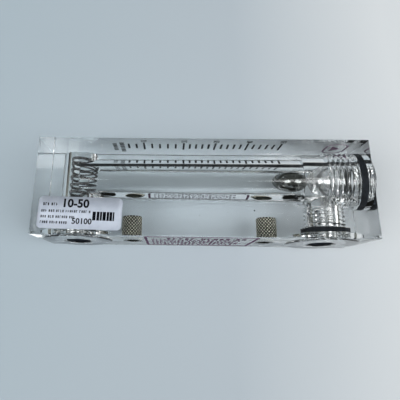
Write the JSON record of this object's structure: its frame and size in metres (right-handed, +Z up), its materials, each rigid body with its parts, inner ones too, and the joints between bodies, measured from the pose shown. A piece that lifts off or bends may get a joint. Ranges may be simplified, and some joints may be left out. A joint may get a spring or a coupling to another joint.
{
  "type": "rotameter",
  "caption": "Variable-area flow meter: clear acrylic block with a tapered bore, steel ball float, printed scale, end plug and threaded back ports.",
  "frame": {"origin": "middle of the side face that the block rests on", "axes": "+Z up through the labelled side face, +X from the inlet end to the outlet end along the flow bore, +Y to the front face with the scale"},
  "size_m": [0.1173, 0.0354, 0.0255],
  "materials": {
    "acrylic": "polished clear",
    "acrylic_fitting": "turned clear",
    "ball_steel": "polished",
    "spring_steel": "drawn wire",
    "brass": "knurled, plated",
    "seal_rubber": "smooth",
    "label_film": "satin film",
    "black_ink": "printed",
    "mauve_ink": "printed"
  },
  "bodies": {
    "meter_block": {"body_block": "acrylic", "inlet_adapter": "acrylic_fitting", "outlet_adapter": "acrylic_fitting", "inlet_adapter_o_ring": "seal_rubber", "outlet_adapter_o_ring": "seal_rubber", "end_plug": "acrylic_fitting", "end_plug_o_ring": "seal_rubber", "inlet_spring": "spring_steel", "lower_threaded_insert": "brass", "upper_threaded_insert": "brass", "side_label": "label_film", "scale_marks": "black_ink", "back_legend": "mauve_ink", "flow_mark": "mauve_ink"},
    "float": {"ball_float": "ball_steel"}
  },
  "joints": [
    {"name": "float_travel", "type": "slide", "parent": "meter_block", "child": "float", "axis": [1, 0, -0.0073], "range_m": [-0.065, 0]}
  ]
}
